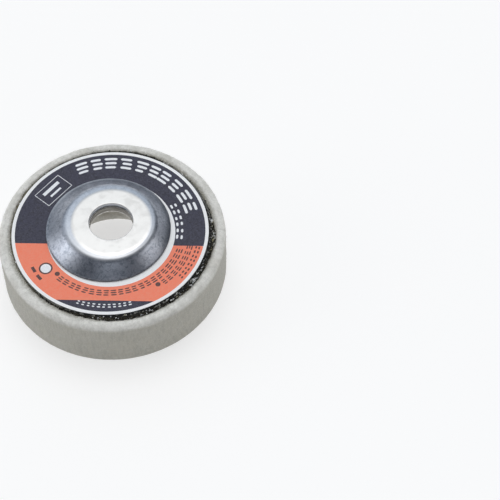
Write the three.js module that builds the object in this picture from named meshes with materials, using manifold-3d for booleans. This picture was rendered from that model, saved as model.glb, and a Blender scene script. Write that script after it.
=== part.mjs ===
// Felt polishing disc for a small angle grinder: a felt ring bonded to a raised-centre backing plate
// that is clamped between two aluminium hub parts. Millimetres, +Z up along the spindle axis,
// with the origin at the centre of the felt's working face and the hub at the top.
import * as THREE from "three";
import Module from "manifold-3d";
import { mergeVertices } from "three/addons/utils/BufferGeometryUtils.js";

// Driving dimensions
const DISC_RADIUS = 25;
const RECESS_RADIUS = 12.5;
const FELT_HEIGHT = 12.8;
const SEAT_RADIUS = 22.5; // shallow seat in the felt's back, which takes the backing plate
const SEAT_Z = 11.4;
const GLUE_THICKNESS = 0.2;
const CLOTH_THICKNESS = 0.4;
const PLATE_THICKNESS = 1.0;
const PLATE_RADIUS = 22.05;
const HUB_RAISE = 2.8; // how far the centre of the plate stands above its outer part
const PLATE_CENTRE_THICKNESS = 1.4;
const SHEET_THICKNESS = 1.0; // pressed upper flange
const RING_THICKNESS = 0.8; // lower ring
const BORE_RADIUS = 9.53 / 2;
const SLEEVE_WALL = 0.485; // of the sleeve that lines the bore
const FLANGE_RADIUS = 13.75;
const SKIRT_DROP = 3.4; // from the flange's flat top to the top of its rim
const RIM_THICKNESS = 0.4;
const FLANGE_HOLE_RADIUS = 4.87;
const SHOULDER_RADIUS = 9; // where the flange starts to fall away from its flat top
const HUB_RING_RADIUS = 9.3;
const LABEL_RADIUS = 21.7;
const LABEL_HOLE_RADIUS = 13;
const LABEL_THICKNESS = 0.12;
const LABEL_OFFSET = new THREE.Vector3(-0.42, 0.3, 0); // the label is stuck on slightly off centre
const RIM_SHIFT = new THREE.Vector2(-0.85, 0.6); // the flange's rim is pressed off the bore's centre
const CLEARANCE = 0.3;
const GLUE_CLEARANCE = 0.1;

// Heights that follow from them
const clothZ = SEAT_Z + GLUE_THICKNESS;
const plateZ = clothZ + CLOTH_THICKNESS;
const plateTopZ = plateZ + PLATE_THICKNESS;
const hubRingTopZ = plateZ + HUB_RAISE;
const hubRingZ = hubRingTopZ - RING_THICKNESS;
const plateCentreZ = hubRingTopZ + PLATE_CENTRE_THICKNESS;
const hubTopZ = plateCentreZ + SHEET_THICKNESS;
const sleeveRadius = BORE_RADIUS + SLEEVE_WALL;

const SEGMENTS = 96;
const BEND_STEPS = 2;

const materials = {
  felt: new THREE.MeshStandardMaterial({ color: 0xc9c6bc, roughness: 0.95, metalness: 0 }),
  glue: new THREE.MeshStandardMaterial({ color: 0x14140f, roughness: 0.35, metalness: 0 }),
  cloth: new THREE.MeshStandardMaterial({ color: 0x1c1c1a, roughness: 0.8, metalness: 0 }),
  plate: new THREE.MeshStandardMaterial({ color: 0x3a3a36, roughness: 0.45, metalness: 0 }),
  paper: new THREE.MeshStandardMaterial({ color: 0x46444f, roughness: 0.5, metalness: 0 }),
  pressedAluminium: new THREE.MeshStandardMaterial({ color: 0x9a9ca4, roughness: 0.3, metalness: 1 }),
  cutAluminium: new THREE.MeshStandardMaterial({ color: 0xc9c6c4, roughness: 0.4, metalness: 1 }),
};

const point = (radius, z) => new THREE.Vector2(radius, z);

// A smooth bend from one point to another, pulled towards the corner between them
function bend(from, corner, to, steps = BEND_STEPS) {
  return new THREE.QuadraticBezierCurve(point(...from), point(...corner), point(...to)).getPoints(steps);
}

// A solid of revolution about Z. The section runs up its outer side and down its inner side.
function turned(section) {
  const geometry = new THREE.LatheGeometry([...section, section[0].clone()], SEGMENTS);
  return geometry.rotateX(Math.PI / 2);
}

// Moves points by nothing inside the flange's shoulder, growing to RIM_SHIFT at its rim
function shiftToRim(geometry, isMoved = () => true) {
  const position = geometry.attributes.position;
  for (let i = 0; i < position.count; i++) {
    const radius = Math.hypot(position.getX(i), position.getY(i));
    const share = (radius - SHOULDER_RADIUS) / (FLANGE_RADIUS - SHOULDER_RADIUS);
    if (share > 0 && isMoved(radius, position.getZ(i))) {
      const moved = RIM_SHIFT.clone().multiplyScalar(Math.min(share, 1));
      position.setX(i, position.getX(i) + moved.x);
      position.setY(i, position.getY(i) + moved.y);
    }
  }
  return geometry;
}

function feltRing() {
  const mouthEdge = 0.4;
  const workingEdge = 0.35;
  const backEdge = 1.1;
  const lipEdge = 0.4;
  return turned([
    ...bend([RECESS_RADIUS, mouthEdge], [RECESS_RADIUS, 0], [RECESS_RADIUS + mouthEdge, 0]),
    ...bend([DISC_RADIUS - workingEdge, 0], [DISC_RADIUS, 0], [DISC_RADIUS, workingEdge]),
    ...bend([DISC_RADIUS, FELT_HEIGHT - backEdge], [DISC_RADIUS, FELT_HEIGHT],
      [DISC_RADIUS - backEdge, FELT_HEIGHT], 4),
    ...bend([SEAT_RADIUS + lipEdge, FELT_HEIGHT], [SEAT_RADIUS, FELT_HEIGHT],
      [SEAT_RADIUS, FELT_HEIGHT - lipEdge]),
    point(SEAT_RADIUS, SEAT_Z),
    point(RECESS_RADIUS, SEAT_Z),
  ]);
}

// The cured glue film, with the bead squeezed out round the plate and the bead in the recess
function glueFilm() {
  const outer = SEAT_RADIUS - GLUE_CLEARANCE;
  const inner = PLATE_RADIUS + GLUE_CLEARANCE;
  const beadTop = plateTopZ - 0.05;
  const beadFoot = SEAT_Z - 0.3;
  const beadWall = RECESS_RADIUS - GLUE_CLEARANCE;
  const beadInside = RECESS_RADIUS - 0.55;
  return turned([
    ...bend([beadInside, SEAT_Z], [beadInside, beadFoot], [beadWall, beadFoot]),
    point(beadWall, SEAT_Z),
    point(outer, SEAT_Z),
    ...bend([outer, beadTop - 0.3], [outer, beadTop], [inner, beadTop]),
    point(inner, clothZ),
    point(beadInside, clothZ),
  ]);
}

function facingCloth() {
  const innerRadius = RECESS_RADIUS - 0.7;
  return turned([
    point(innerRadius, clothZ),
    point(PLATE_RADIUS, clothZ),
    point(PLATE_RADIUS, plateZ),
    point(innerRadius, plateZ),
  ]);
}

// The moulded plate: a flat outer part, a bulge round the hub ring's pocket and a cone under the flange
function backingPlate() {
  const holeRadius = sleeveRadius + CLEARANCE;
  const pocketRadius = HUB_RING_RADIUS + CLEARANCE;
  const pocketLip = hubRingZ + 0.3;
  const bulgeFoot = 11.5;
  const coneFoot = 12.3;
  const coneShoulder = [9.9, plateTopZ + 2.25];
  const centreRadius = 8.4;
  const edge = 0.15;
  const isUnderFlange = (radius, z) => radius <= coneFoot + 0.01 && z - plateZ > coneFoot + 0.2 - radius;
  return shiftToRim(turned([
    point(holeRadius, hubRingTopZ),
    point(pocketRadius, hubRingTopZ),
    ...bend([pocketRadius, pocketLip + 0.15], [pocketRadius, pocketLip],
      [pocketRadius + 0.2, pocketLip - 0.2]),
    ...bend([pocketRadius + 0.5, pocketLip - 0.7], [pocketRadius + 0.9, plateZ + 0.2],
      [bulgeFoot, plateZ], 4),
    point(PLATE_RADIUS - edge, plateZ),
    point(PLATE_RADIUS, plateZ + edge),
    point(PLATE_RADIUS, plateTopZ - edge),
    point(PLATE_RADIUS - edge, plateTopZ),
    ...bend([coneFoot, plateTopZ], [coneFoot - 0.4, plateTopZ], [coneFoot - 0.7, plateTopZ + 0.4]),
    ...bend([coneFoot - 1.6, plateTopZ + 1.5], [coneFoot - 1.9, plateTopZ + 1.9], coneShoulder),
    point(centreRadius, plateCentreZ),
    point(holeRadius, plateCentreZ),
  ]), isUnderFlange);
}

function paperLabel() {
  return turned([
    point(LABEL_HOLE_RADIUS, plateTopZ),
    point(LABEL_RADIUS, plateTopZ),
    point(LABEL_RADIUS, plateTopZ + LABEL_THICKNESS),
    point(LABEL_HOLE_RADIUS, plateTopZ + LABEL_THICKNESS),
  ]);
}

// Pressed flange: a flat seat for the grinder, a rounded shoulder and a conical skirt down to the rim
function hubFlange() {
  const rimTopZ = hubTopZ - SKIRT_DROP;
  const rimFootZ = rimTopZ - RIM_THICKNESS;
  const flatRadius = 8.7;
  const shoulder = [10.1, hubTopZ - 0.4];
  const innerFlatRadius = 8.5;
  const innerShoulder = [9.5, plateCentreZ - 0.38];
  const skirtFoot = FLANGE_RADIUS - 0.7;
  const rimEdge = 0.15;
  const holeEdge = 0.1;
  return shiftToRim(turned([
    point(FLANGE_HOLE_RADIUS, plateCentreZ),
    ...bend([innerFlatRadius, plateCentreZ], [innerFlatRadius + 0.55, plateCentreZ], innerShoulder, 3),
    ...bend(innerShoulder, [11.1, rimFootZ + 1.05], [skirtFoot, rimFootZ], 4).slice(1),
    ...bend([FLANGE_RADIUS - rimEdge, rimFootZ], [FLANGE_RADIUS, rimFootZ],
      [FLANGE_RADIUS, rimFootZ + rimEdge]),
    ...bend([FLANGE_RADIUS, rimTopZ - rimEdge], [FLANGE_RADIUS, rimTopZ],
      [FLANGE_RADIUS - rimEdge, rimTopZ + rimEdge / 2]),
    ...bend([FLANGE_RADIUS - rimEdge, rimTopZ + rimEdge / 2], [11.9, rimTopZ + 1.25], shoulder, 4).slice(1),
    ...bend(shoulder, [9.5, hubTopZ], [flatRadius, hubTopZ], 4).slice(1),
    ...bend([FLANGE_HOLE_RADIUS + holeEdge, hubTopZ], [FLANGE_HOLE_RADIUS, hubTopZ],
      [FLANGE_HOLE_RADIUS, hubTopZ - holeEdge]),
  ]));
}

// Manifold needs one shared vertex per corner, so the normals and uvs go and equal points are merged
function toSolid(wasm, geometry) {
  const bare = geometry.clone();
  bare.deleteAttribute("normal");
  bare.deleteAttribute("uv");
  const merged = mergeVertices(bare, 1e-5);
  return new wasm.Manifold(new wasm.Mesh({
    numProp: 3,
    vertProperties: Float32Array.from(merged.attributes.position.array),
    triVerts: Uint32Array.from(merged.index.array),
  }));
}

function toGeometry(solid) {
  const mesh = solid.getMesh();
  const geometry = new THREE.BufferGeometry();
  geometry.setAttribute("position", new THREE.BufferAttribute(mesh.vertProperties, 3));
  geometry.setIndex(new THREE.BufferAttribute(mesh.triVerts, 1));
  geometry.computeVertexNormals();
  return geometry;
}

// Lower ring with the sleeve that lines the bore, and the small locating hole punched through its face
function hubRing(wasm) {
  const sleeveTopZ = plateCentreZ - CLEARANCE;
  const boreEdge = 0.35;
  const outerEdge = 0.25;
  const ring = turned([
    ...bend([BORE_RADIUS, hubRingZ + boreEdge], [BORE_RADIUS, hubRingZ],
      [BORE_RADIUS + boreEdge, hubRingZ], 3),
    ...bend([HUB_RING_RADIUS - outerEdge, hubRingZ], [HUB_RING_RADIUS, hubRingZ],
      [HUB_RING_RADIUS, hubRingZ + outerEdge]),
    point(HUB_RING_RADIUS, hubRingTopZ),
    point(sleeveRadius, hubRingTopZ),
    point(sleeveRadius, sleeveTopZ),
    point(BORE_RADIUS, sleeveTopZ),
  ]);
  const holeRadius = 0.8;
  const holeCentreRadius = 7;
  const holeAngle = THREE.MathUtils.degToRad(-110);
  const punch = new THREE.CylinderGeometry(holeRadius, holeRadius, 4 * RING_THICKNESS, 24);
  punch.rotateX(Math.PI / 2);
  punch.translate(holeCentreRadius * Math.cos(holeAngle), holeCentreRadius * Math.sin(holeAngle), hubRingZ);
  return toGeometry(toSolid(wasm, ring).subtract(toSolid(wasm, punch)));
}

function addPiece(group, name, geometry, material, offset = new THREE.Vector3()) {
  const mesh = new THREE.Mesh(geometry, material);
  mesh.name = name;
  mesh.position.copy(offset);
  group.add(mesh);
}

const wasm = await Module();
wasm.setup();

const disc = new THREE.Group();
addPiece(disc, "felt_ring", feltRing(), materials.felt);
addPiece(disc, "bond_adhesive", glueFilm(), materials.glue);
addPiece(disc, "facing_cloth", facingCloth(), materials.cloth);
addPiece(disc, "backing_plate", backingPlate(), materials.plate);
addPiece(disc, "paper_label", paperLabel(), materials.paper, LABEL_OFFSET);
addPiece(disc, "hub_flange", hubFlange(), materials.pressedAluminium);
addPiece(disc, "hub_ring", hubRing(wasm), materials.cutAluminium);

export default disc;
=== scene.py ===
import math

import bpy
import numpy as np
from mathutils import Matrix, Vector, noise


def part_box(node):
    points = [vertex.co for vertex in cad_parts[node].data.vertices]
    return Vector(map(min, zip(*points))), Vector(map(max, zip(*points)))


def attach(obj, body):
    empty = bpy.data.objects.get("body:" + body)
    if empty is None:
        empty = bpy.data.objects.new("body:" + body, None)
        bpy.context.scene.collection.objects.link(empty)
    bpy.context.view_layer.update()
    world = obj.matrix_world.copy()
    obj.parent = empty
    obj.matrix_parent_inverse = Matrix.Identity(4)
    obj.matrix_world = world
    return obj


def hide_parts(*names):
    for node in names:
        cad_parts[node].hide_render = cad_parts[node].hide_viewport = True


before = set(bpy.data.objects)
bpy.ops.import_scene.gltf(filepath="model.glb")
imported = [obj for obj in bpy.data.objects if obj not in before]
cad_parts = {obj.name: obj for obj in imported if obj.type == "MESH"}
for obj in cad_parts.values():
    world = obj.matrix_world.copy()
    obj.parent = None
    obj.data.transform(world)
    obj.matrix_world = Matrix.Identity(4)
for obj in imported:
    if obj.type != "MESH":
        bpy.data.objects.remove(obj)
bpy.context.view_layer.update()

# The felt wheel's visible pieces. Lengths are in millimetres, and MM turns them into metres.
# Sizes that model.glb holds are read from it, so that each piece lies where the CAD model has it.
MM = 0.001


def outer_radius(node):
    low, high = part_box(node)
    return (high[0] - low[0]) / 2 / MM


def bottom(node):
    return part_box(node)[0][2] / MM


def top(node):
    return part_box(node)[1][2] / MM


def middle(node):
    low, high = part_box(node)
    return [(low[axis] + high[axis]) / 2 / MM for axis in (0, 1)]


FELT_RADIUS = outer_radius("felt_ring")
FELT_TOP = top("felt_ring")
RECESS_RADIUS = 12.5
SEAT_RADIUS = outer_radius("bond_adhesive") + 0.1  # of the shallow seat in the felt's back
SEAT_Z = 11.4
GLUE_FOOT = bottom("bond_adhesive")
CLOTH_RADIUS = outer_radius("facing_cloth")
CLOTH_Z = bottom("facing_cloth")
PLATE_RADIUS = outer_radius("backing_plate")
PLATE_Z = bottom("backing_plate")
PLATE_TOP = bottom("paper_label")
PLATE_CENTRE_TOP = top("backing_plate")
LABEL_RADIUS = outer_radius("paper_label")
LABEL_HOLE_RADIUS = 13.0
LABEL_TOP = top("paper_label")
LABEL_CENTRE = middle("paper_label")
FLANGE_RADIUS = outer_radius("hub_flange")
RIM_FOOT = bottom("hub_flange") - 0.2  # nearer to the label than in the CAD model
RIM_TOP = RIM_FOOT + 0.35
SHOULDER_RADIUS = 9.0  # where the flange starts to fall away from its flat top
HUB_TOP = top("hub_flange")
FLANGE_HOLE_RADIUS = 4.87
RIM_SHIFT = middle("hub_flange")  # the rim is pressed off the bore's centre
RING_RADIUS = outer_radius("hub_ring")
RING_Z = bottom("hub_ring")
RING_TOP = RING_Z + 0.8
SLEEVE_TOP = top("hub_ring")
BORE_RADIUS = 9.53 / 2
SLEEVE_RADIUS = BORE_RADIUS + 0.485
PUNCH_RADIUS = 0.8
PUNCH_PLACE = (7.0 * math.cos(math.radians(-110)), 7.0 * math.sin(math.radians(-110)))

# Where the felt's lip starts round the seat: degrees round the wheel, and mm outside the seat's radius
LIP_EDGE = [(-176, -0.2), (-162, -0.5), (-150, -0.55), (-138, -0.4), (-118, -0.32), (-100, -0.25),
            (-88, 0.12), (-75, 0.08), (-60, -0.15), (-42, -0.08), (-15, -0.15), (-4, 0.3), (10, -0.25),
            (25, -0.6), (45, -0.65), (70, 0.0), (93, 0.1), (120, 0.1), (150, 0.2)]
# The glue came out most at the lower right of the label
SQUEEZE_ANGLE = math.radians(-38)
SQUEEZE_SPREAD = math.radians(48)


# ---------------------------------------------------------------- mesh tools

def roughness_at(points, size, octaves=3, seed=0):
    """Fractal noise, about -1 to 1, at points in mm, with features of about the given size."""
    offset = Vector((seed * 17.3, seed * 31.7, seed * 5.1))
    return np.array([noise.fractal(Vector(p) / size + offset, 1.0, 2.0, octaves) for p in points])


def bend(start, corner, end, steps=8):
    """Points on a smooth bend from start to end, pulled towards corner."""
    t = np.linspace(0, 1, steps + 1)[:, None]
    start, corner, end = (np.array(p, float) for p in (start, corner, end))
    return [tuple(p) for p in (1 - t) ** 2 * start + 2 * t * (1 - t) * corner + t ** 2 * end]


def densify(section, spacing):
    """The closed section with points added so that none lie further apart than spacing."""
    dense = []
    for a, b in zip(section, section[1:] + section[:1]):
        a, b = np.array(a, float), np.array(b, float)
        count = max(1, math.ceil(np.linalg.norm(b - a) / spacing))
        dense += [a + (b - a) * k / count for k in range(count)]
    return np.array(dense)


def revolve(section, segments):
    """Points, outward normals and faces of a closed section turned about Z."""
    count = len(section)
    ahead, behind = np.roll(section, -1, axis=0), np.roll(section, 1, axis=0)
    along = ahead - behind
    along /= np.linalg.norm(along, axis=1, keepdims=True)
    angles = np.arange(segments) * 2 * math.pi / segments
    cos, sin = np.cos(angles)[:, None], np.sin(angles)[:, None]

    def turn(r, z):
        return np.stack([cos * r, sin * r, np.broadcast_to(z, (segments, count))], axis=2).reshape(-1, 3)

    points = turn(section[:, 0], section[:, 1])
    normals = turn(along[:, 1], -along[:, 0])
    k, j = np.meshgrid(np.arange(segments), np.arange(count), indexing="ij")
    column, next_column = k * count, (k + 1) % segments * count
    next_j = (j + 1) % count
    faces = np.stack([column + j, next_column + j, next_column + next_j, column + next_j], axis=2)
    return points, normals, faces.reshape(-1, 4).tolist()


def radius_and_angle(points):
    return np.hypot(points[:, 0], points[:, 1]), np.arctan2(points[:, 1], points[:, 0])


def move_out(points, angle, distance):
    """Moves the points away from the wheel's axis, in place."""
    points[:, 0] += np.cos(angle) * distance
    points[:, 1] += np.sin(angle) * distance


def fade(value, low, high):
    """0 below low, 1 above high, and smooth between. low may be the larger."""
    t = np.clip((value - low) / (high - low), 0, 1)
    return t * t * (3 - 2 * t)


def squeeze(angle):
    """How much glue came out at an angle, from 0 to 1."""
    away = (angle - SQUEEZE_ANGLE + math.pi) % (2 * math.pi) - math.pi
    return np.exp(-(away / SQUEEZE_SPREAD) ** 2)


def along_ray(angle, centre, radius):
    """Distance from the origin to a circle, along a ray."""
    x, y = centre
    along = x * math.cos(angle) + y * math.sin(angle)
    return along + math.sqrt(max(along * along - x * x - y * y + radius * radius, 0))


def label_edge(angles):
    """Distance from the wheel's axis to the label's outer edge."""
    return np.array([along_ray(angle, LABEL_CENTRE, LABEL_RADIUS) for angle in angles])


def add_mesh(name, points, faces, material, replaced=None, smooth=True):
    """A piece from points in mm, riding on the one body."""
    mesh = bpy.data.meshes.new(name)
    mesh.from_pydata((np.asarray(points) * MM).tolist(), [], faces)
    mesh.polygons.foreach_set("use_smooth", [smooth] * len(mesh.polygons))
    mesh.materials.append(material)
    mesh.update()
    piece = bpy.data.objects.new(name, mesh)
    bpy.context.scene.collection.objects.link(piece)
    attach(piece, "root")
    if replaced:
        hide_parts(replaced)
    return piece


class Pile:
    """Collects many small closed shapes into one mesh."""

    def __init__(self):
        self.points, self.faces, self.count = [], [], 0

    def add(self, points, faces):
        self.points.append(np.asarray(points, float))
        self.faces += [[i + self.count for i in face] for face in faces]
        self.count += len(points)

    def piece(self, name, material, slot, smooth=True):
        return add_mesh(name, np.concatenate(self.points), self.faces, material, smooth=smooth)


def strand_faces(rings, sides):
    """Faces of a closed strand with the given number of rings and sides."""
    walls = [[i * sides + s, i * sides + (s + 1) % sides, (i + 1) * sides + (s + 1) % sides,
              (i + 1) * sides + s] for i in range(rings - 1) for s in range(sides)]
    last = (rings - 1) * sides
    return walls + [list(range(sides))[::-1], [last + s for s in range(sides)]]


def strands(roots, heading, lift, lengths, radii, rng, sides=3, curl=0.5):
    """Points and faces of many tapered curled strands. lift turns each one as it goes."""
    count, rings = len(roots), 4
    path = [roots]
    for _ in range(rings - 1):
        heading = heading + rng.normal(0, curl, (count, 3)) + lift
        heading /= np.linalg.norm(heading, axis=1, keepdims=True)
        path.append(path[-1] + heading * (lengths / (rings - 1))[:, None])
    path = np.stack(path, axis=1)
    side = np.cross(heading, rng.normal(0, 1, (count, 3)))
    side /= np.linalg.norm(side, axis=1, keepdims=True)
    other = np.cross(heading, side)
    thickness = radii[:, None, None] * np.linspace(1, 0.45, rings)[:, None]
    points = np.empty((count, rings, sides, 3))
    for s in range(sides):
        angle = 2 * math.pi * s / sides
        spoke = side * math.cos(angle) + other * math.sin(angle)
        points[:, :, s] = path + spoke[:, None, :] * thickness
    template = strand_faces(rings, sides)
    each = rings * sides
    faces = [[i * each + v for v in face] for i in range(count) for face in template]
    return points.reshape(-1, 3), faces


# ---------------------------------------------------------------- material tools

class Shader:
    """One node material. Its pattern sizes are in millimetres, measured on the object."""

    def __init__(self, name, **sockets):
        self.material = bpy.data.materials.new(name)
        self.material.use_nodes = True
        self.nodes, self.links = self.material.node_tree.nodes, self.material.node_tree.links
        self.surface = self.nodes["Principled BSDF"]
        for socket, value in sockets.items():
            self.set(socket.replace("_", " "), value)
        place = self.nodes.new("ShaderNodeTexCoord")
        scale = self.make("ShaderNodeVectorMath", operation="SCALE")
        self.links.new(place.outputs["Object"], scale.inputs[0])
        scale.inputs["Scale"].default_value = 1 / MM
        self.mm = scale.outputs[0]

    def make(self, kind, **settings):
        node = self.nodes.new(kind)
        for key, value in settings.items():
            setattr(node, key, value)
        return node

    def feed(self, socket, value):
        if isinstance(value, bpy.types.NodeSocket):
            self.links.new(value, socket)
        elif isinstance(value, tuple) and len(value) == 3 and socket.type == "RGBA":
            socket.default_value = (*value, 1)
        else:
            socket.default_value = value

    def set(self, name, value):
        self.feed(self.surface.inputs[name], value)

    def noise(self, size, detail=2.0, distortion=0.0, at=None, roughness=0.5):
        node = self.make("ShaderNodeTexNoise")
        self.feed(node.inputs["Vector"], at or self.mm)
        node.inputs["Scale"].default_value = 1 / size
        node.inputs["Detail"].default_value = detail
        node.inputs["Roughness"].default_value = roughness
        node.inputs["Distortion"].default_value = distortion
        return node.outputs["Fac"]

    def cells(self, size):
        node = self.make("ShaderNodeTexVoronoi")
        self.feed(node.inputs["Vector"], self.mm)
        node.inputs["Scale"].default_value = 1 / size
        return node.outputs["Distance"]

    def math(self, operation, a, b=0.0):
        node = self.make("ShaderNodeMath", operation=operation)
        self.feed(node.inputs[0], a)
        self.feed(node.inputs[1], b)
        return node.outputs[0]

    def times(self, a, b):
        return self.math("MULTIPLY", a, b)

    def spread(self, value, low, high, to_low=0.0, to_high=1.0):
        """value mapped from low..high to to_low..to_high, and held there."""
        node = self.make("ShaderNodeMapRange", clamp=True)
        for socket, number in zip(node.inputs, (value, low, high, to_low, to_high)):
            self.feed(socket, number)
        return node.outputs[0]

    def blend(self, factor, a, b):
        """a where factor is 0, b where it is 1. Sockets 6 and 7 of a mix node are its two colours."""
        node = self.make("ShaderNodeMix", data_type="RGBA")
        self.feed(node.inputs[0], factor)
        self.feed(node.inputs[6], a)
        self.feed(node.inputs[7], b)
        return node.outputs[2]

    def stretched(self, x, y, z, turn=(0, 0, 0)):
        """Coordinates in which patterns come out x, y and z times longer along those axes."""
        node = self.make("ShaderNodeMapping")
        self.feed(node.inputs["Vector"], self.mm)
        node.inputs["Rotation"].default_value = turn
        node.inputs["Scale"].default_value = (1 / x, 1 / y, 1 / z)
        return node.outputs[0]

    def axis(self, letter):
        node = self.make("ShaderNodeSeparateXYZ")
        self.feed(node.inputs[0], self.mm)
        return node.outputs[letter]

    def radius(self):
        """Distance from the wheel's axis."""
        flat = self.make("ShaderNodeVectorMath", operation="MULTIPLY")
        self.feed(flat.inputs[0], self.mm)
        flat.inputs[1].default_value = (1, 1, 0)
        length = self.make("ShaderNodeVectorMath", operation="LENGTH")
        self.feed(length.inputs[0], flat.outputs[0])
        return length.outputs["Value"]

    def bump(self, height, depth, below=None):
        """Relief of the given depth in mm, over the relief below it."""
        node = self.make("ShaderNodeBump")
        node.inputs["Strength"].default_value = 1.0
        node.inputs["Distance"].default_value = depth * MM
        self.feed(node.inputs["Height"], height)
        if below:
            self.feed(node.inputs["Normal"], below)
        self.set("Normal", node.outputs[0])
        return node.outputs[0]


def felt_material():
    """Pressed wool: matted curled fibres, soft clumps, and a faint warm blotch here and there."""
    s = Shader("felt", Sheen_Weight=0.25, Sheen_Roughness=0.45, Specular_IOR_Level=0.2)
    fibres = s.noise(0.16, 3, distortion=1.6)
    matting = s.noise(0.55, 3, distortion=1.2)
    clumps = s.noise(1.9, 4, distortion=0.4)
    blotches = s.noise(6.5, 3)
    pressed = s.noise(0.5, 3, at=s.stretched(1, 1, 4.5))
    # Painted shade: the felt's outer side is coloured about half as light as its top, standing in for the
    # lesser light that falls on it.
    side = s.times(s.spread(s.radius(), FELT_RADIUS - 0.7, FELT_RADIUS - 0.1),
                   s.spread(s.axis("Z"), FELT_TOP - 0.4, FELT_TOP - 1.4))
    tone = s.blend(side, (0.885, 0.872, 0.825), (0.435, 0.414, 0.35))
    color = s.blend(s.spread(blotches, 0.5, 0.7, 0, 0.45), tone, (0.48, 0.45, 0.37))
    color = s.blend(s.spread(clumps, 0.42, 0.64, 0, 0.34), color, (0.45, 0.44, 0.395))
    color = s.blend(s.spread(matting, 0.44, 0.66, 0, 0.26), color, (0.38, 0.37, 0.33))
    color = s.blend(s.spread(fibres, 0.4, 0.68, 0.0, 0.4), color, (0.78, 0.775, 0.74))
    streaks = s.times(s.spread(pressed, 0.46, 0.68, 0, 0.4), s.spread(side, 0, 1, 0.25, 1.0))
    color = s.blend(streaks, color, (0.33, 0.32, 0.28))
    # Darker towards the seat at the lip's inner edge: partly real glue stain and matted dust, partly
    # painted shade in the hollow where the lip curls down to the seat.
    lip = s.times(s.spread(s.radius(), SEAT_RADIUS + 0.9, SEAT_RADIUS - 0.3),
                  s.spread(s.axis("Z"), SEAT_Z + 0.2, SEAT_Z + 0.5))
    stain = s.times(lip, s.spread(matting, 0.3, 0.55, 0.45, 1.0))
    color = s.blend(s.times(stain, 0.92), color, (0.15, 0.135, 0.09))
    # Painted shade: the recess wall is coloured darker and browner deeper in, where less light reaches it.
    deep = s.times(s.spread(s.radius(), RECESS_RADIUS + 0.5, RECESS_RADIUS + 0.2),
                  s.spread(s.axis("Z"), 0.2, 5.0))
    painted_recess_shade = s.times(deep, s.spread(clumps, 0.3, 0.6, 0.55, 0.9))
    color = s.blend(painted_recess_shade, color, (0.30, 0.265, 0.19))
    s.set("Base Color", color)
    s.set("Roughness", s.spread(matting, 0.3, 0.7, 0.88, 1.0))
    soft = s.bump(clumps, 0.14)
    tangled = s.bump(matting, 0.10, soft)
    s.bump(fibres, 0.05, tangled)
    return s.material


def fibre_material():
    """Loose wool fibres, some of them greyer."""
    s = Shader("felt_fibre", Roughness=0.7, Sheen_Weight=0.2)
    s.set("Base Color", s.blend(s.noise(2.0, 2), (0.72, 0.71, 0.66), (0.52, 0.50, 0.44)))
    return s.material


def glue_material():
    """Cured black resin: lumpy, shiny where it is smooth, with brown dust and wool stuck in it."""
    s = Shader("glue", Specular_IOR_Level=0.16)
    grit = s.noise(0.2, 3, distortion=0.8)
    lumps = s.noise(0.6, 3, distortion=0.5)
    dust = s.times(s.spread(grit, 0.5, 0.68), s.spread(lumps, 0.5, 0.62))
    color = s.blend(dust, (0.004, 0.004, 0.004), (0.055, 0.047, 0.028))
    left_side = s.spread(s.axis("X"), -14.0, -19.0)
    color = s.blend(s.times(left_side, s.spread(grit, 0.36, 0.6, 0.35, 1.0)), color, (0.20, 0.18, 0.12))
    by_felt = s.spread(s.radius(), SEAT_RADIUS - 0.6, SEAT_RADIUS - 0.1)
    woolly = s.times(by_felt, s.spread(grit, 0.5, 0.64, 0.0, 0.75))
    s.set("Base Color", s.blend(woolly, color, (0.15, 0.132, 0.08)))
    s.set("Roughness", s.spread(grit, 0.35, 0.65, 0.2, 0.75))
    s.bump(grit, 0.14, s.bump(lumps, 0.25))
    return s.material


def glass_material():
    """Broken ends of glass fibre: pale, glassy, some of them stained brown by the resin."""
    s = Shader("glass_fibre", Coat_Weight=0.3, Coat_Roughness=0.1)
    stained = s.spread(s.noise(1.6, 2), 0.52, 0.62)
    s.set("Base Color", s.blend(stained, (0.93, 0.94, 0.94), (0.40, 0.36, 0.20)))
    s.set("Roughness", s.spread(s.noise(0.2, 2), 0.3, 0.7, 0.12, 0.4))
    return s.material


def weave(s, pitch=1.1):
    """Height of a plain weave lying flat, with the given distance between its threads."""
    across, down = (s.math("SINE", s.times(s.axis(letter), math.pi / pitch)) for letter in "XY")
    warp = s.math("ABSOLUTE", across)
    return s.math("ADD", s.times(s.times(across, down), 0.5), s.times(warp, 0.5))


def cloth_material():
    """Glass cloth soaked in black resin, dull, with its weave showing."""
    s = Shader("glass_cloth")
    wear = s.noise(0.6, 3)
    s.set("Base Color", s.blend(s.spread(wear, 0.5, 0.8), (0.010, 0.010, 0.009), (0.05, 0.048, 0.04)))
    s.set("Roughness", s.spread(wear, 0.3, 0.7, 0.45, 0.8))
    s.bump(s.noise(0.12, 2), 0.05, s.bump(weave(s), 0.15))
    return s.material


def plate_material():
    """Moulded resin plate: dark, half shiny, with the cloth inside just showing."""
    s = Shader("resin_plate", Coat_Weight=0.15, Coat_Roughness=0.2)
    cloud = s.noise(2.6, 4, distortion=0.5)
    grain = s.noise(0.3, 3)
    color = s.blend(s.spread(cloud, 0.35, 0.7), (0.05, 0.05, 0.042), (0.13, 0.127, 0.108))
    color = s.blend(s.spread(grain, 0.52, 0.76, 0, 0.6), color, (0.19, 0.187, 0.165))
    # Painted shade: the plate is coloured near-black inside the ring's pocket, under the ring, where it
    # lies in shade.
    painted_pocket_shade = s.spread(s.radius(), RING_RADIUS + 0.3, RING_RADIUS + 0.1)
    s.set("Base Color", s.blend(painted_pocket_shade, color, (0.012, 0.012, 0.011)))
    s.set("Roughness", s.spread(cloud, 0.3, 0.7, 0.28, 0.5))
    s.bump(grain, 0.03, s.bump(s.math("ADD", s.times(weave(s), 0.35), cloud), 0.16))
    return s.material


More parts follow.
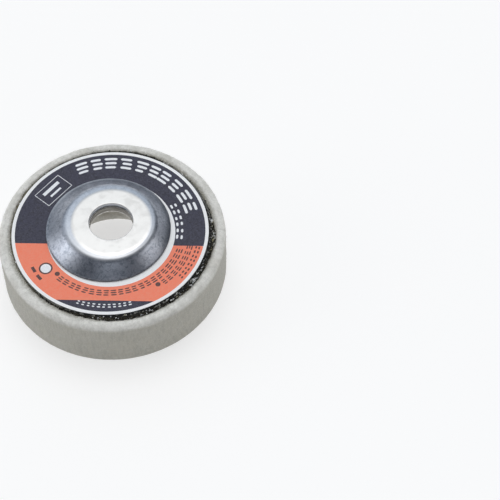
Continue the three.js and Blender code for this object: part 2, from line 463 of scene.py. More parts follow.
def printed_material(name, color, faded):
    """Ink on coated paper, a little uneven, with paper grain and the plate's weave showing."""
    s = Shader(name, Specular_IOR_Level=0.3)
    grain = s.noise(0.2, 3)
    flecks = s.noise(0.45, 3, distortion=0.5)
    cloud = s.noise(1.6, 4)
    tone = s.blend(s.spread(cloud, 0.35, 0.7, 0, 0.55), color, faded)
    tone = s.blend(s.spread(flecks, 0.48, 0.66, 0, 0.85), tone, faded)
    tone = s.blend(s.spread(grain, 0.42, 0.7, 0, 0.8), tone, faded)
    threads = weave(s)
    s.set("Base Color", s.blend(s.spread(threads, 0.1, 0.9, 0, 0.3), tone, faded))
    s.set("Roughness", s.spread(cloud, 0.3, 0.7, 0.36, 0.52))
    s.bump(grain, 0.012, s.bump(threads, 0.02))
    return s.material


def pressed_metal():
    """Pressed aluminium sheet: satin and stained, with painted highlights on its shoulder and near the rim
    at the back, and painted shade on the right side and along the rim's edge.
    """
    s = Shader("pressed_aluminium", Metallic=1.0)
    stain = s.noise(2.6, 4, distortion=0.8)
    grain = s.noise(0.22, 3)
    scratches = s.noise(0.1, 2, at=s.stretched(1, 14, 6, (0, 0, 0.7)))
    crossing = s.noise(0.1, 2, at=s.stretched(12, 1, 6, (0, 0, -0.3)))
    pits = s.times(s.spread(s.cells(1.5), 0.09, 0.05), s.spread(stain, 0.55, 0.65))
    color = s.blend(s.spread(stain, 0.38, 0.7, 0, 0.6), (0.49, 0.515, 0.57), (0.42, 0.445, 0.505))
    color = s.blend(s.spread(grain, 0.4, 0.7, 0, 0.45), color, (0.32, 0.35, 0.415))
    mottle = s.noise(0.8, 5, distortion=1.1, roughness=0.6)
    color = s.blend(s.spread(mottle, 0.46, 0.62, 0, 0.75), color, (0.215, 0.24, 0.285))
    color = s.blend(s.times(pits, 0.6), color, (0.16, 0.165, 0.18))
    height = s.axis("Z")
    # Painted highlight: the shoulder band is coloured lighter, most at the front, where it catches the
    # overhead light.
    shoulder = s.spread(height, HUB_TOP - 0.75, HUB_TOP - 0.38)
    painted_shoulder_highlight = s.spread(s.axis("Y"), 2.0, -8.0, 0.42, 0.95)
    color = s.blend(s.times(shoulder, painted_shoulder_highlight), color, (0.68, 0.70, 0.735))
    worn = s.blend(s.spread(stain, 0.52, 0.68, 0, 0.5), (0.505, 0.496, 0.478), (0.40, 0.39, 0.37))
    color = s.blend(s.spread(height, HUB_TOP - 0.12, HUB_TOP - 0.02, 0, 0.85), color, worn)
    # Painted highlight: a light band just above the rim at the back, where the skirt reflects the bright
    # light behind.
    painted_back_highlight = s.times(s.spread(height, RIM_TOP + 0.65, RIM_TOP + 0.15), s.spread(s.axis("Y"), 3.0, 9.0))
    color = s.blend(painted_back_highlight, color, (0.72, 0.74, 0.77))
    # Painted shade: the skirt is coloured darker on its right side above the rim, standing in for the dark
    # reflection seen there.
    painted_right_shade = s.times(s.spread(height, RIM_TOP + 1.15, RIM_TOP + 0.35),
                        s.spread(s.axis("X"), 8.0, 11.5, 0, 0.6))
    color = s.blend(painted_right_shade, color, (0.13, 0.14, 0.16))
    # Painted shade: the rim's lowest edge is coloured nearly black, for the shadow line where the rim meets
    # the label.
    color = s.blend(s.spread(height, RIM_TOP + 0.08, RIM_TOP - 0.1, 0, 0.85), color, (0.085, 0.088, 0.095))
    s.set("Base Color", color)
    s.set("Roughness", s.spread(stain, 0.3, 0.75, 0.29, 0.38))
    marks = s.math("ADD", s.spread(scratches, 0.62, 0.78), s.spread(crossing, 0.64, 0.78))
    s.bump(marks, 0.002, s.bump(grain, 0.003))
    return s.material


def scuffed_metal():
    """Bright aluminium sheet, scuffed and dented by the nut, with dark turning lines in the bore."""
    s = Shader("scuffed_aluminium", Metallic=1.0)
    scuff = s.noise(0.9, 4, distortion=0.8)
    grain = s.noise(0.22, 3, distortion=0.6)
    scratches = s.noise(0.12, 2, at=s.stretched(1, 10, 6, (0, 0, 1.1)))
    color = s.blend(s.spread(scuff, 0.42, 0.62), (0.90, 0.89, 0.88), (0.50, 0.475, 0.45))
    color = s.blend(s.spread(scratches, 0.58, 0.68, 0, 0.8), color, (0.95, 0.95, 0.95))
    turning = s.noise(0.16, 2, at=s.stretched(30, 30, 1))
    wall = s.times(s.spread(s.radius(), BORE_RADIUS + 0.12, BORE_RADIUS + 0.03),
                  s.spread(s.axis("Z"), RING_Z + 0.35, RING_Z + 0.6))
    lined = s.blend(s.spread(turning, 0.4, 0.6), (0.40, 0.385, 0.36), (0.17, 0.16, 0.145))
    s.set("Base Color", s.blend(wall, color, lined))
    s.set("Roughness", s.spread(grain, 0.3, 0.7, 0.3, 0.5))
    dents = s.bump(scuff, 0.022)
    s.bump(s.math("ADD", grain, s.spread(scratches, 0.6, 0.72)), 0.008, dents)
    return s.material


# ---------------------------------------------------------------- felt

def felt_section():
    recess_edge, face_edge, back_edge, lip_drop = 0.55, 0.4, 1.2, 0.6
    return densify([
        *bend((RECESS_RADIUS, recess_edge), (RECESS_RADIUS, 0), (RECESS_RADIUS + recess_edge, 0)),
        *bend((FELT_RADIUS - face_edge, 0), (FELT_RADIUS, 0), (FELT_RADIUS, face_edge + 0.05)),
        *bend((FELT_RADIUS, FELT_TOP - back_edge - 0.1), (FELT_RADIUS, FELT_TOP),
              (FELT_RADIUS - back_edge, FELT_TOP), 12),
        *bend((SEAT_RADIUS + 0.95, FELT_TOP), (SEAT_RADIUS + 0.1, FELT_TOP),
              (SEAT_RADIUS, FELT_TOP - lip_drop), 10),
        (SEAT_RADIUS, SEAT_Z),
        (RECESS_RADIUS, SEAT_Z),
    ], 0.34)


def lip_shift(angle):
    """How far the felt's lip starts outside the seat's radius."""
    ring = np.stack([np.cos(angle) * 22, np.sin(angle) * 22, angle * 0], axis=1)
    ragged = roughness_at(ring, 0.8, 4, seed=3) * 0.14
    degrees, shifts = zip(*LIP_EDGE)
    return np.interp(np.degrees(angle), degrees, shifts, period=360) + ragged


def build_felt(material):
    points, normals, faces = revolve(felt_section(), 420)
    radius, angle = radius_and_angle(points)
    soft = roughness_at(points, 3.2, 3, seed=1) * 0.07 + roughness_at(points, 0.9, 2, seed=2) * 0.035
    on_floor = fade(points[:, 2], 0.6, 0.0)
    points = points + normals * (soft * (1 - 0.92 * on_floor))[:, None]
    near_lip = fade(radius, 24.2, SEAT_RADIUS + 0.2) * fade(points[:, 2], SEAT_Z - 0.1, FELT_TOP - 0.6)
    near_lip *= fade(radius, SEAT_RADIUS - 1.0, SEAT_RADIUS - 0.2)
    move_out(points, angle, lip_shift(angle) * near_lip)
    points[:, 2] = np.maximum(points[:, 2], 0)
    add_mesh("felt_body", points, faces, material, "felt_ring")
    return points, normals


def build_fuzz(points, normals, material):
    """Loose wool fibres: a thin nap all over, thicker on the lip, none under the floor."""
    rng = np.random.default_rng(11)
    radius, _ = radius_and_angle(points)
    lip = (points[:, 2] > FELT_TOP - 1.2) & (radius < 24.6)
    hidden = (points[:, 2] > SEAT_Z - 0.2) & (radius < SEAT_RADIUS - 0.3)
    weight = np.where(lip, 1.5, 1.0) * np.where(hidden | (points[:, 2] < 0.25), 0, 1)
    count = 8600
    chosen = rng.choice(len(points), count, p=weight / weight.sum())
    roots = points[chosen] + rng.normal(0, 0.15, (count, 3)) * (1 - np.abs(normals[chosen]))
    heading = rng.normal(0, 1, (count, 3))
    heading -= normals[chosen] * (heading * normals[chosen]).sum(1, keepdims=True)
    heading /= np.linalg.norm(heading, axis=1, keepdims=True)
    rise = rng.uniform(0.0, 0.22, (count, 1))
    lengths = rng.uniform(0.3, 0.85, count)
    sunk = roots - normals[chosen] * 0.02
    body, faces = strands(sunk, heading, normals[chosen] * rise, lengths,
                          rng.uniform(0.010, 0.017, count), rng)
    body[:, 2] = np.maximum(body[:, 2], 0.01)
    add_mesh("felt_nap", body, faces, material)


def build_lip_fuzz(material):
    """Fibres that lean over the glue, rooted on the curve of the felt's lip."""
    rng = np.random.default_rng(12)
    count = 1500
    angles = rng.uniform(-math.pi, math.pi, count)
    outside = rng.uniform(0.0, 0.5, count)
    radius = SEAT_RADIUS + lip_shift(angles) + outside
    spokes = np.stack([np.cos(angles), np.sin(angles), angles * 0], axis=1)
    roots = spokes * radius[:, None]
    roots[:, 2] = FELT_TOP - 0.6 * (1 - np.sqrt(outside)) ** 2 - 0.03
    heading = rng.normal(0, 0.75, (count, 3)) * (1, 1, 0.3) - spokes
    heading /= np.linalg.norm(heading, axis=1, keepdims=True)
    lengths = rng.uniform(0.25, 0.75, count)
    body, faces = strands(roots, heading, (0, 0, 0.1), lengths, rng.uniform(0.012, 0.026, count), rng,
                          curl=0.3)
    add_mesh("felt_lip_fuzz", body, faces, material)


# ---------------------------------------------------------------- glue, cloth and plate

def thinned(section, low, high, keep):
    """The section with only every keep-th point where its radius is between low and high."""
    hidden = (section[:, 0] > low) & (section[:, 0] < high)
    return section[~hidden | (np.arange(len(section)) % keep == 0)]


def build_glue(material):
    """The glue's film, its bead outside the plate and the smaller one inside the recess."""
    inner_edge = RECESS_RADIUS - 0.55
    wall = RECESS_RADIUS - 0.08
    crest = (SEAT_RADIUS - 0.3, PLATE_TOP - 0.08)
    under_label = (LABEL_RADIUS - 0.8, PLATE_TOP + 0.02)
    section = densify([
        *bend((inner_edge, SEAT_Z), (inner_edge, GLUE_FOOT), (wall, GLUE_FOOT), 6),
        (wall, SEAT_Z + 0.01),
        (SEAT_RADIUS - 0.1, SEAT_Z + 0.01),
        *bend((SEAT_RADIUS - 0.02, PLATE_TOP - 0.7), (SEAT_RADIUS, PLATE_TOP - 0.2), crest, 10),
        *bend(crest, (LABEL_RADIUS - 0.1, PLATE_TOP + 0.12), under_label, 12),
        (PLATE_RADIUS - 0.15, PLATE_TOP - 0.1),
        (PLATE_RADIUS + 0.05, PLATE_TOP - 0.1),
        (PLATE_RADIUS + 0.05, CLOTH_Z - 0.01),
        (inner_edge, CLOTH_Z - 0.01),
    ], 0.16)
    section = thinned(section, inner_edge + 1, 20.5, 8)
    points, normals, faces = revolve(section, 820)
    radius, angle = radius_and_angle(points)
    pressed_out = squeeze(angle)
    bead = fade(points[:, 2], 12.3, 12.7) * fade(radius, 21.0, 21.4)
    coarse = roughness_at(points, 0.95, 3, seed=5)
    fine = roughness_at(points, 0.34, 2, seed=6)
    height = (coarse * 0.16 + fine * 0.09) * (0.45 + 0.9 * pressed_out)
    points = points + normals * (height * bead)[:, None]
    move_out(points, angle, (lip_shift(angle) + 0.12) * bead * fade(radius, 21.4, 22.4))
    covered = fade(radius, label_edge(angle) + 0.15, label_edge(angle) - 0.05)
    ceiling = PLATE_TOP + 0.12 - 0.13 * covered
    held_down = (covered * bead > 0) & (points[:, 2] > ceiling)
    points[held_down, 2] = ceiling[held_down]
    inside = fade(radius, RECESS_RADIUS - 0.1, RECESS_RADIUS - 0.3) * fade(points[:, 2], CLOTH_Z, 11.5)
    move_out(points, angle, roughness_at(points, 0.8, 3, seed=8) * 0.28 * inside)
    add_mesh("glue_bead", points, faces, material, "bond_adhesive")


def blob(rng, place, size):
    """A small lumpy closed shape."""
    golden = (1 + 5 ** 0.5) / 2
    # The corners and faces of a regular icosahedron
    corners = np.array([(-1, golden, 0), (1, golden, 0), (-1, -golden, 0), (1, -golden, 0),
                        (0, -1, golden), (0, 1, golden), (0, -1, -golden), (0, 1, -golden),
                        (golden, 0, -1), (golden, 0, 1), (-golden, 0, -1), (-golden, 0, 1)], float)
    corners /= np.linalg.norm(corners[0])
    stretch = rng.uniform(0.6, 1.4, 3)
    body = corners * stretch * size * rng.uniform(0.8, 1.2, (12, 1)) + place
    faces = [(0, 11, 5), (0, 5, 1), (0, 1, 7), (0, 7, 10), (0, 10, 11), (1, 5, 9), (5, 11, 4),
             (11, 10, 2), (10, 7, 6), (7, 1, 8), (3, 9, 4), (3, 4, 2), (3, 2, 6), (3, 6, 8), (3, 8, 9),
             (4, 9, 5), (2, 4, 11), (6, 2, 10), (8, 6, 7), (9, 8, 1)]
    return body, faces


def ring_angles(rng, count):
    """Angles round the label, crowded towards the side where the glue came out."""
    even = rng.uniform(-math.pi, math.pi, count)
    crowded = rng.normal(SQUEEZE_ANGLE, SQUEEZE_SPREAD * 0.8, count)
    return np.where(rng.uniform(0, 1, count) < 0.45, even, crowded)


def build_crumbs(material):
    """Crumbs of glue along the label's edge."""
    rng = np.random.default_rng(21)
    count = 520
    pile = Pile()
    angles = ring_angles(rng, count)
    edge = SEAT_RADIUS + lip_shift(angles)
    inner = label_edge(angles)
    for angle, low, high in zip(angles, inner, edge):
        radius = rng.uniform(low, high + 0.2)
        height = PLATE_TOP + rng.uniform(-0.3, -0.02)
        place = (radius * math.cos(angle), radius * math.sin(angle), height)
        pile.add(*blob(rng, place, rng.uniform(0.05, 0.16)))
    pile.piece("glue_crumbs", material, "adhesive")


def build_frays(glass, cloth):
    """Tufts of broken glass fibre round the label, and the cloth's cut threads inside the recess."""
    rng = np.random.default_rng(31)
    centres = np.concatenate([rng.uniform(math.radians(-100), math.radians(10), 28),
                              rng.normal(math.radians(-44), math.radians(13), 22),
                              rng.normal(math.radians(-4), math.radians(6), 24),
                              rng.uniform(-math.pi, math.pi, 14)])
    tufts = len(centres)
    fibres = 8
    gap = np.maximum(SEAT_RADIUS + lip_shift(centres) - label_edge(centres), 0.15)
    radius = label_edge(centres) + gap * rng.uniform(0.35, 1.05, tufts)
    height = PLATE_TOP + rng.uniform(-0.12, 0.06, tufts)
    tangent = np.stack([-np.sin(centres), np.cos(centres), centres * 0], axis=1)
    tangent += rng.normal(0, 0.45, (tufts, 3)) * (1, 1, 0.25)
    lengths = np.repeat(rng.uniform(0.2, 0.62, tufts), fibres)
    knots = np.stack([radius * np.cos(centres), radius * np.sin(centres), height], axis=1)
    roots = np.repeat(knots, fibres, 0)
    roots += rng.normal(0, 0.055, roots.shape)
    heading = np.repeat(tangent, fibres, 0) + rng.normal(0, 0.22, roots.shape) * (1, 1, 0.5)
    body, faces = strands(roots, heading, 0, lengths, rng.uniform(0.016, 0.034, len(roots)), rng,
                          sides=5, curl=0.12)
    add_mesh("glass_tufts", body, faces, glass)

    count = 130
    root_radius = RECESS_RADIUS - 0.55
    angles = rng.uniform(-math.pi, math.pi, count)
    roots = np.stack([root_radius * np.cos(angles), root_radius * np.sin(angles),
                      rng.uniform(CLOTH_Z + 0.08, PLATE_Z - 0.08, count)], axis=1)
    inward = -np.stack([np.cos(angles), np.sin(angles), np.full(count, 0.1)], axis=1)
    body, faces = strands(roots, inward + rng.normal(0, 0.5, (count, 3)), 0,
                          rng.uniform(0.15, 0.6, count), rng.uniform(0.04, 0.08, count), rng, sides=5)
    add_mesh("recess_frays", body, faces, cloth)


def build_cloth(material):
    inner = RECESS_RADIUS - 0.7
    corners = [(inner, CLOTH_Z), (CLOTH_RADIUS, CLOTH_Z), (CLOTH_RADIUS, PLATE_Z), (inner, PLATE_Z)]
    section = thinned(densify(corners, 0.1), inner + 1.2, CLOTH_RADIUS - 1.2, 10)
    points, _, faces = revolve(section, 720)
    radius, angle = radius_and_angle(points)
    cut = fade(radius, inner + 0.6, inner)
    move_out(points, angle, cut * (roughness_at(points, 0.6, 3, seed=9) * 0.3 - 0.08))
    points[:, 2] += roughness_at(points, 0.5, 2, seed=10) * 0.05 * cut
    add_mesh("cloth_facing", points, faces, material, "facing_cloth")


def shift_to_rim(points, moved=1.0):
    """The points moved by nothing inside the flange's shoulder, growing to RIM_SHIFT at its rim."""
    radius, _ = radius_and_angle(points)
    share = np.clip((radius - SHOULDER_RADIUS) / (FLANGE_RADIUS - SHOULDER_RADIUS), 0, 1)
    points = points.copy()
    points[:, 0] += RIM_SHIFT[0] * share * moved
    points[:, 1] += RIM_SHIFT[1] * share * moved
    return points


def build_plate(material):
    gap, edge = 0.3, 0.15
    pocket = RING_RADIUS + gap
    lip = RING_Z + gap
    hole = SLEEVE_RADIUS + gap
    slope_foot = 11.5  # on the underside
    cone_foot = 12.3  # on the upper side
    section = densify([
        (hole, RING_TOP),
        (pocket, RING_TOP),
        *bend((pocket, lip + 0.15), (pocket, lip), (pocket + 0.2, lip - 0.2), 4),
        *bend((pocket + 0.5, lip - 0.7), (pocket + 0.9, PLATE_Z + 0.2), (slope_foot, PLATE_Z)),
        (PLATE_RADIUS - edge, PLATE_Z),
        (PLATE_RADIUS, PLATE_Z + edge),
        (PLATE_RADIUS, PLATE_TOP - edge),
        (PLATE_RADIUS - edge, PLATE_TOP),
        *bend((cone_foot, PLATE_TOP), (cone_foot - 0.4, PLATE_TOP), (cone_foot - 0.7, PLATE_TOP + 0.4), 4),
        *bend((10.7, PLATE_TOP + 1.5), (10.4, PLATE_TOP + 1.9), (9.9, PLATE_TOP + 2.25), 4),
        (8.4, PLATE_CENTRE_TOP),
        (hole, PLATE_CENTRE_TOP),
    ], 0.3)
    points, normals, faces = revolve(section, 300)
    radius, _ = radius_and_angle(points)
    open_slope = fade(radius, pocket + 0.1, pocket + 0.4) * fade(radius, slope_foot + 0.4, slope_foot)
    open_slope *= fade(points[:, 2], lip + 0.1, lip - 0.3)
    threads = np.sin(points[:, 0] * 2.9) * np.sin(points[:, 1] * 2.9) * 0.03  # 1.1 mm apart
    relief = (roughness_at(points, 1.8, 3, seed=12) * 0.09 + threads) * open_slope
    upper_side = points[:, 2] - PLATE_Z > np.maximum(cone_foot + 0.2 - radius, 0.5)
    under_flange = upper_side * fade(radius, 16.0, cone_foot)
    points = shift_to_rim(points + normals * relief[:, None], under_flange)
    add_mesh("plate_body", points, faces, material, "backing_plate")


# ---------------------------------------------------------------- hub

def build_flange(material):
    inner_shoulder = (9.5, PLATE_CENTRE_TOP - 0.38)
    skirt_inner_foot = (FLANGE_RADIUS - 0.7, RIM_FOOT)
    skirt_foot = (FLANGE_RADIUS - 0.2, RIM_TOP + 0.06)
    skirt_top = (10.7, HUB_TOP - 1.01)
    edge, hole_edge = 0.14, 0.08
    section = densify([
        (FLANGE_HOLE_RADIUS, PLATE_CENTRE_TOP),
        *bend((8.5, PLATE_CENTRE_TOP), (9.05, PLATE_CENTRE_TOP), inner_shoulder),
        *bend(inner_shoulder, (11.1, RIM_FOOT + 1.05), skirt_inner_foot, 14)[1:],
        *bend((FLANGE_RADIUS - edge, RIM_FOOT), (FLANGE_RADIUS, RIM_FOOT),
              (FLANGE_RADIUS, RIM_FOOT + edge)),
        *bend((FLANGE_RADIUS, RIM_TOP - edge), (FLANGE_RADIUS, RIM_TOP), skirt_foot),
        *bend(skirt_foot, (12.0, RIM_TOP + 1.36), skirt_top, 14)[1:],
        *bend(skirt_top, (10.15, HUB_TOP - 0.475), (9.5, HUB_TOP - 0.28), 14)[1:],
        *bend((9.15, HUB_TOP - 0.17), (8.65, HUB_TOP), (8.15, HUB_TOP), 12),
        *bend((FLANGE_HOLE_RADIUS + hole_edge, HUB_TOP), (FLANGE_HOLE_RADIUS, HUB_TOP),
              (FLANGE_HOLE_RADIUS, HUB_TOP - hole_edge), 4),
    ], 0.22)
    points, normals, faces = revolve(section, 288)
    waves = roughness_at(points, 5.0, 2, seed=14) * 0.02 + roughness_at(points, 1.4, 2, seed=15) * 0.003
    flat = fade(points[:, 2], HUB_TOP - 0.3, HUB_TOP - 0.02)
    points = shift_to_rim(points + normals * (waves * (1 - 0.85 * flat))[:, None])
    add_mesh("flange_shell", points, faces, material, "hub_flange")


def build_ring(material):
    section = densify([
        *bend((BORE_RADIUS, RING_Z + 0.4), (BORE_RADIUS, RING_Z), (BORE_RADIUS + 0.38, RING_Z)),
        *bend((RING_RADIUS - 0.28, RING_Z), (RING_RADIUS, RING_Z), (RING_RADIUS, RING_Z + 0.28)),
        (RING_RADIUS, RING_TOP),
        (SLEEVE_RADIUS, RING_TOP),
        (SLEEVE_RADIUS, SLEEVE_TOP),
        (BORE_RADIUS, SLEEVE_TOP),
    ], 0.2)
    points, normals, faces = revolve(section, 288)
    from_punch = np.hypot(points[:, 0] - PUNCH_PLACE[0], points[:, 1] - PUNCH_PLACE[1])
    face = fade(points[:, 2], RING_Z + 0.15, RING_Z + 0.02)
    dents = roughness_at(points, 1.4, 2, seed=16) * 0.012 * face
    raised = 0.07 * np.exp(-((from_punch - PUNCH_RADIUS - 0.15) / 0.2) ** 2) * face
    points = points + normals * (dents + raised)[:, None]
    sleeve_end = fade(points[:, 2], SLEEVE_TOP - 0.3, SLEEVE_TOP)
    points[:, 2] += roughness_at(points, 2.4, 2, seed=17) * 0.12 * sleeve_end
    ring = add_mesh("ring_body", points, faces, material, "hub_ring")
    punch_hole(ring)


def punch_hole(ring):
    """Cuts the small locating hole through the ring's face."""
    bpy.ops.mesh.primitive_cylinder_add(vertices=48, radius=PUNCH_RADIUS * MM, depth=3.0 * MM,
                                        location=Vector((*PUNCH_PLACE, RING_Z)) * MM)
    cutter = bpy.context.object
    cut = ring.modifiers.new("punch", "BOOLEAN")
    cut.operation, cut.object, cut.solver = "DIFFERENCE", cutter, "EXACT"
    shape = bpy.data.meshes.new_from_object(ring.evaluated_get(bpy.context.evaluated_depsgraph_get()))
    ring.modifiers.clear()
    ring.data = shape
    bpy.data.objects.remove(cutter)


# ---------------------------------------------------------------- label

INK = 0.012  # thickness of a printed layer
PRINT_RADIUS = 20.97  # the paper stays white outside it
PRINT_HOLE_RADIUS = 14.17
PRINT_HOLE_CENTRE = (-0.23, -0.18)
PRINT_TILT = math.radians(-1.1)
UPPER_CHORD, LOWER_CHORD = -3.35, -17.85  # where the colours meet, on the Y axis
NO_CHORD = 100.0  # further out than the label


def ribbon(inner, outer, z_low, z_high):
    """A thin closed slab between two rows of points in the plane."""
    count = len(inner)
    flat = [(*p, z) for z in (z_high, z_low) for row in (inner, outer) for p in row]
    a, b, c, d = (count * k for k in range(4))
    faces = []
    for i in range(count - 1):
        faces += [[a + i, b + i, b + i + 1, a + i + 1], [c + i, c + i + 1, d + i + 1, d + i],
                  [a + i, a + i + 1, c + i + 1, c + i], [b + i, d + i, d + i + 1, b + i + 1]]
    last = count - 1
    faces += [[a, c, d, b], [a + last, b + last, d + last, c + last]]
    return flat, faces


def print_zone(low_chord, high_chord):
    """Strips of a printed zone, which is the part of the printed ring between two chords.

    Each strip is an inner and an outer row of points. A new one starts after each gap in the zone.
    """
    strips, open_strip = [], False
    for angle in np.linspace(-1.5 * math.pi, 0.5 * math.pi, 1441):
        sine = math.sin(angle - PRINT_TILT)
        low = along_ray(angle, PRINT_HOLE_CENTRE, PRINT_HOLE_RADIUS)
        high = along_ray(angle, LABEL_CENTRE, PRINT_RADIUS)
        if sine < 0:
            low = max(low, high_chord / sine)
            high = min(high, low_chord / sine)
        elif high_chord < NO_CHORD:
            high = low
        if high - low < 0.003:
            open_strip = False
            continue
        if not open_strip:
            strips.append(([], []))
            open_strip = True
        direction = np.array((math.cos(angle), math.sin(angle)))
        strips[-1][0].append(direction * low)
        strips[-1][1].append(direction * high)
    return strips


def arc_bar(pile, radius, start, end, width, z):
    """A bar with round ends along an arc about the label's centre. Angles in degrees."""
    start, end = math.radians(start), math.radians(end)
    cap = width / 2 / radius
    steps = max(6, int((end - start) * radius / 0.25))
    inner, outer = [], []
    for t in np.linspace(0, 1, steps + 1):
        angle = start + (end - start) * t
        from_end = min(t, 1 - t) * (end - start) / cap
        half = width / 2 * (math.sqrt(max(1 - (1 - from_end) ** 2, 0.06)) if from_end < 1 else 1)
        for row, r in ((inner, radius - half), (outer, radius + half)):
            row.append((LABEL_CENTRE[0] + r * math.cos(angle), LABEL_CENTRE[1] + r * math.sin(angle)))
    pile.add(*ribbon(inner, outer, z - INK, z))


def straight_bar(pile, centre, length, width, angle, z):
    """A rectangular bar centred on a point of the wheel's plane. Angle in degrees."""
    angle = math.radians(angle)
    along = np.array((math.cos(angle), math.sin(angle))) * length / 2
    across = np.array((math.sin(angle), -math.cos(angle))) * width / 2
    centre = np.array(centre)
    pile.add(*ribbon([centre - along - across, centre + along - across],
                     [centre - along + across, centre + along + across], z - INK, z))


def disc_mark(pile, centre, radius, z, hole=0.02):
    """A round dot, or a round outline if its hole is a wide one."""
    angles = np.linspace(0, 2 * math.pi, 41)
    spokes = np.stack([np.cos(angles), np.sin(angles)], axis=1)
    centre = np.array(centre)
    pile.add(*ribbon(list(centre + spokes * hole), list(centre + spokes * radius), z - INK, z))


def mark_row(pile, radius, angles, length, width, spacing, z, seed, bars=2):
    """A row of marks in place of a line of print, each a stack of plain bars.

    The angles are in degrees, spacing is the distance between the bars of one mark, and the bars' lengths
    vary with the seed.
    """
    rng = np.random.default_rng(seed)
    turn = math.degrees(length / radius)
    for angle in angles:
        for shift in (np.arange(bars) - (bars - 1) / 2) * spacing:
            spare = turn * rng.uniform(0, 0.3)
            start = angle - turn / 2 + spare * rng.uniform(0, 1)
            arc_bar(pile, radius + shift, start, start + turn - spare, width, z)


def framed_box(pile, centre, length, width, angle, z):
    """A thin rectangular frame with a long and a short bar in it. Angle in degrees."""
    line = 0.13
    turn = math.radians(angle)
    along = np.array((math.cos(turn), math.sin(turn)))
    across = np.array((along[1], -along[0]))
    for side in (-0.5, 0.5):
        straight_bar(pile, centre + across * side * width, length + 0.1, line, angle, z)
    for side in (-0.5, 0.5):
        straight_bar(pile, centre + along * side * length, width, line, angle + 90, z)
    straight_bar(pile, centre - across * 0.75, 4.8, 0.8, angle, z)
    straight_bar(pile, centre + across * 0.75, 3.2, 0.5, angle, z)


def build_label(paper, dark, orange, white_ink, black_ink):
    foot, edge = PLATE_TOP + 0.005, 0.02
    section = densify([(LABEL_HOLE_RADIUS, foot), (LABEL_RADIUS, foot),
                       (LABEL_RADIUS, LABEL_TOP - edge), (LABEL_RADIUS - edge, LABEL_TOP),
                       (LABEL_HOLE_RADIUS, LABEL_TOP)], 1.5)
    points, _, faces = revolve(section, 480)
    points[:, :2] += LABEL_CENTRE
    add_mesh("label_sheet", points, faces, paper, "paper_label", smooth=False)

    colour_top, mark_top = LABEL_TOP + INK * 0.7, LABEL_TOP + INK * 1.4
    printed = [("label_dark_print", dark, [(UPPER_CHORD, NO_CHORD), (-NO_CHORD, LOWER_CHORD)]),
               ("label_orange_print", orange, [(LOWER_CHORD, UPPER_CHORD)])]
    for name, ink, zones in printed:
        pile = Pile()
        for zone in zones:
            for inner, outer in print_zone(*zone):
                pile.add(*ribbon(inner, outer, colour_top - INK, colour_top))
        pile.piece(name, ink, "label_paper", smooth=False)

    white = Pile()
    title_angles = (112, 102, 92, 81, 70, 60, 51.5, 41, 30, 20)
    mark_row(white, 18.6, title_angles, 2.9, 0.62, 1.15, mark_top, 1, bars=3)
    mark_row(white, 15.35, np.linspace(26, -6, 6), 1.15, 0.5, 1.0, mark_top, 3)
    mark_row(white, 19.5, np.linspace(-108, -75, 11), 0.75, 0.3, 0.62, mark_top, 4)
    framed_box(white, (-13.6, 11.3), 7.4, 4.3, 50, mark_top)
    disc_centre, disc_radius = (-14.0, -9.6), 1.15
    disc_mark(white, disc_centre, disc_radius, mark_top)
    white.piece("label_white_marks", white_ink, "label_paper", smooth=False)

    black = Pile()
    disc_mark(black, disc_centre, disc_radius + 0.35, mark_top, hole=disc_radius)
    disc_mark(black, (-11.4, -11.0), 0.55, mark_top)
    disc_mark(black, (10.5, -13.7), 0.55, mark_top)
    straight_bar(black, (-16.6, -9.9), 1.5, 0.7, -60, mark_top)
    straight_bar(black, (-15.3, -11.9), 1.5, 0.7, -50, mark_top)
    mark_row(black, 16.2, np.linspace(-129, -19, 21), 1.35, 0.3, 0.55, mark_top, 5, bars=3)
    mark_row(black, 18.1, np.linspace(-47, -14, 8), 1.2, 0.28, 0.5, mark_top, 6, bars=3)
    mark_row(black, 19.85, np.linspace(-37, -13, 8), 0.8, 0.36, 0.7, mark_top, 7)
    black.piece("label_black_marks", black_ink, "label_paper", smooth=False)


# ---------------------------------------------------------------- studio

CAMERA_AT = Vector((0.03036, -0.2222, 0.3357))
CAMERA_AIM = Vector((0.03036, 0.00407, 0.0))
CAMERA_LENS = 128.1

# Soft light from all round the wheel, as broad patches on the world: azimuth (0 behind the wheel, 90 at
# its left), elevation, strength at the middle, sharpness and colour.
LIGHT_PATCHES = [
    (0, 76, 3.15, 11.0, (1.0, 0.99, 0.97)),  # overhead
    (0, 24, 0.66, 9.0, (0.78, 0.89, 1.0)),  # back
    (42, 36, 0.78, 10.0, (0.83, 0.91, 1.0)),
    (-34, 46, 0.50, 14.0, (0.83, 0.91, 1.0)),
    (94, 12, 2.9, 20.0, (0.98, 0.99, 1.0)),  # left
    (-101, 8, 1.6, 20.0, (1.0, 0.99, 0.97)),  # right
    (180, 12, 0.62, 12.0, (0.92, 0.96, 1.0)),  # front
]
DARK_ROOM = (0.060, 0.070, 0.088)
PALE_ROOM = (0.99, 0.99, 0.99, 1)


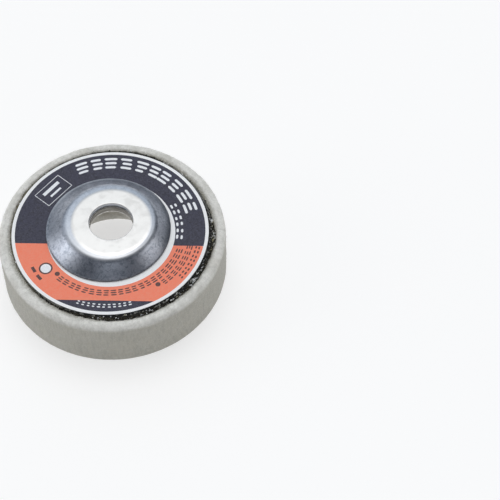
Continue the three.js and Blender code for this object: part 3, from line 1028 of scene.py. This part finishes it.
def build_lights(scene):
    world = bpy.data.worlds.new("studio")
    scene.world = world
    world.use_nodes = True
    nodes, links = world.node_tree.nodes, world.node_tree.links
    direction = nodes.new("ShaderNodeTexCoord").outputs["Generated"]

    def make(kind, operation, *values):
        node = nodes.new(kind)
        node.operation = operation
        for socket, value in zip(node.inputs, values):
            if isinstance(value, bpy.types.NodeSocket):
                links.new(value, socket)
            else:
                socket.default_value = value
        return node

    total = DARK_ROOM
    for azimuth, elevation, strength, sharpness, color in LIGHT_PATCHES:
        turn, rise = math.radians(azimuth), math.radians(elevation)
        centre = (-math.sin(turn) * math.cos(rise), math.cos(turn) * math.cos(rise), math.sin(rise))
        facing = make("ShaderNodeVectorMath", "DOT_PRODUCT", direction, centre).outputs["Value"]
        ahead = make("ShaderNodeMath", "MAXIMUM", facing, 0.0).outputs[0]
        lit = make("ShaderNodeMath", "POWER", ahead, sharpness).outputs[0]
        glow = make("ShaderNodeVectorMath", "SCALE", tuple(c * strength for c in color))
        links.new(lit, glow.inputs["Scale"])
        total = make("ShaderNodeVectorMath", "ADD", total, glow.outputs[0]).outputs[0]
    links.new(total, nodes["Background"].inputs["Color"])

    # The camera sees a plain pale room
    pale = nodes.new("ShaderNodeBackground")
    pale.inputs["Color"].default_value = PALE_ROOM
    path = nodes.new("ShaderNodeLightPath")
    choose = nodes.new("ShaderNodeMixShader")
    links.new(path.outputs["Is Camera Ray"], choose.inputs[0])
    links.new(nodes["Background"].outputs[0], choose.inputs[1])
    links.new(pale.outputs[0], choose.inputs[2])
    links.new(choose.outputs[0], nodes["World Output"].inputs["Surface"])


def build_studio():
    scene = bpy.context.scene
    camera = bpy.data.objects.new("camera", bpy.data.cameras.new("camera"))
    camera.data.lens, camera.data.sensor_width = CAMERA_LENS, 36
    camera.data.clip_start, camera.data.clip_end = 0.01, 20
    camera.location = CAMERA_AT
    camera.rotation_mode = "QUATERNION"
    camera.rotation_quaternion = (CAMERA_AIM - CAMERA_AT).to_track_quat("-Z", "Y")
    scene.collection.objects.link(camera)
    scene.camera = camera
    scene.view_settings.view_transform = "Standard"

    table = bpy.data.meshes.new("floor")
    half = 3.0
    table.from_pydata([(-half, -half, 0), (half, -half, 0), (half, half, 0), (-half, half, 0)], [],
                      [(0, 1, 2, 3)])
    pale = Shader("floor", Base_Color=(0.42, 0.42, 0.42), Roughness=0.9, Specular_IOR_Level=0.1,
                  Emission_Color=(1.0, 1.0, 1.0), Emission_Strength=0.62)
    table.materials.append(pale.material)
    floor = bpy.data.objects.new("floor", table)
    scene.collection.objects.link(floor)
    build_lights(scene)


# ---------------------------------------------------------------- the wheel

felt = felt_material()
felt_points, felt_normals = build_felt(felt)
fibres = fibre_material()
build_fuzz(felt_points, felt_normals, fibres)
build_lip_fuzz(fibres)
glue = glue_material()
build_glue(glue)
build_crumbs(glue)
cloth = cloth_material()
build_frays(glass_material(), cloth)
build_cloth(cloth)
build_plate(plate_material())
build_flange(pressed_metal())
build_ring(scuffed_metal())
build_label(
    printed_material("label_paper", (0.985, 0.985, 0.985), (0.945, 0.95, 0.965)),
    printed_material("label_dark", (0.013, 0.013, 0.028), (0.054, 0.054, 0.088)),
    printed_material("label_orange", (0.99, 0.218, 0.114), (0.96, 0.285, 0.18)),
    printed_material("label_white_ink", (0.97, 0.98, 1.0), (0.84, 0.86, 0.90)),
    printed_material("label_black_ink", (0.05, 0.034, 0.038), (0.16, 0.07, 0.06)))
build_studio()
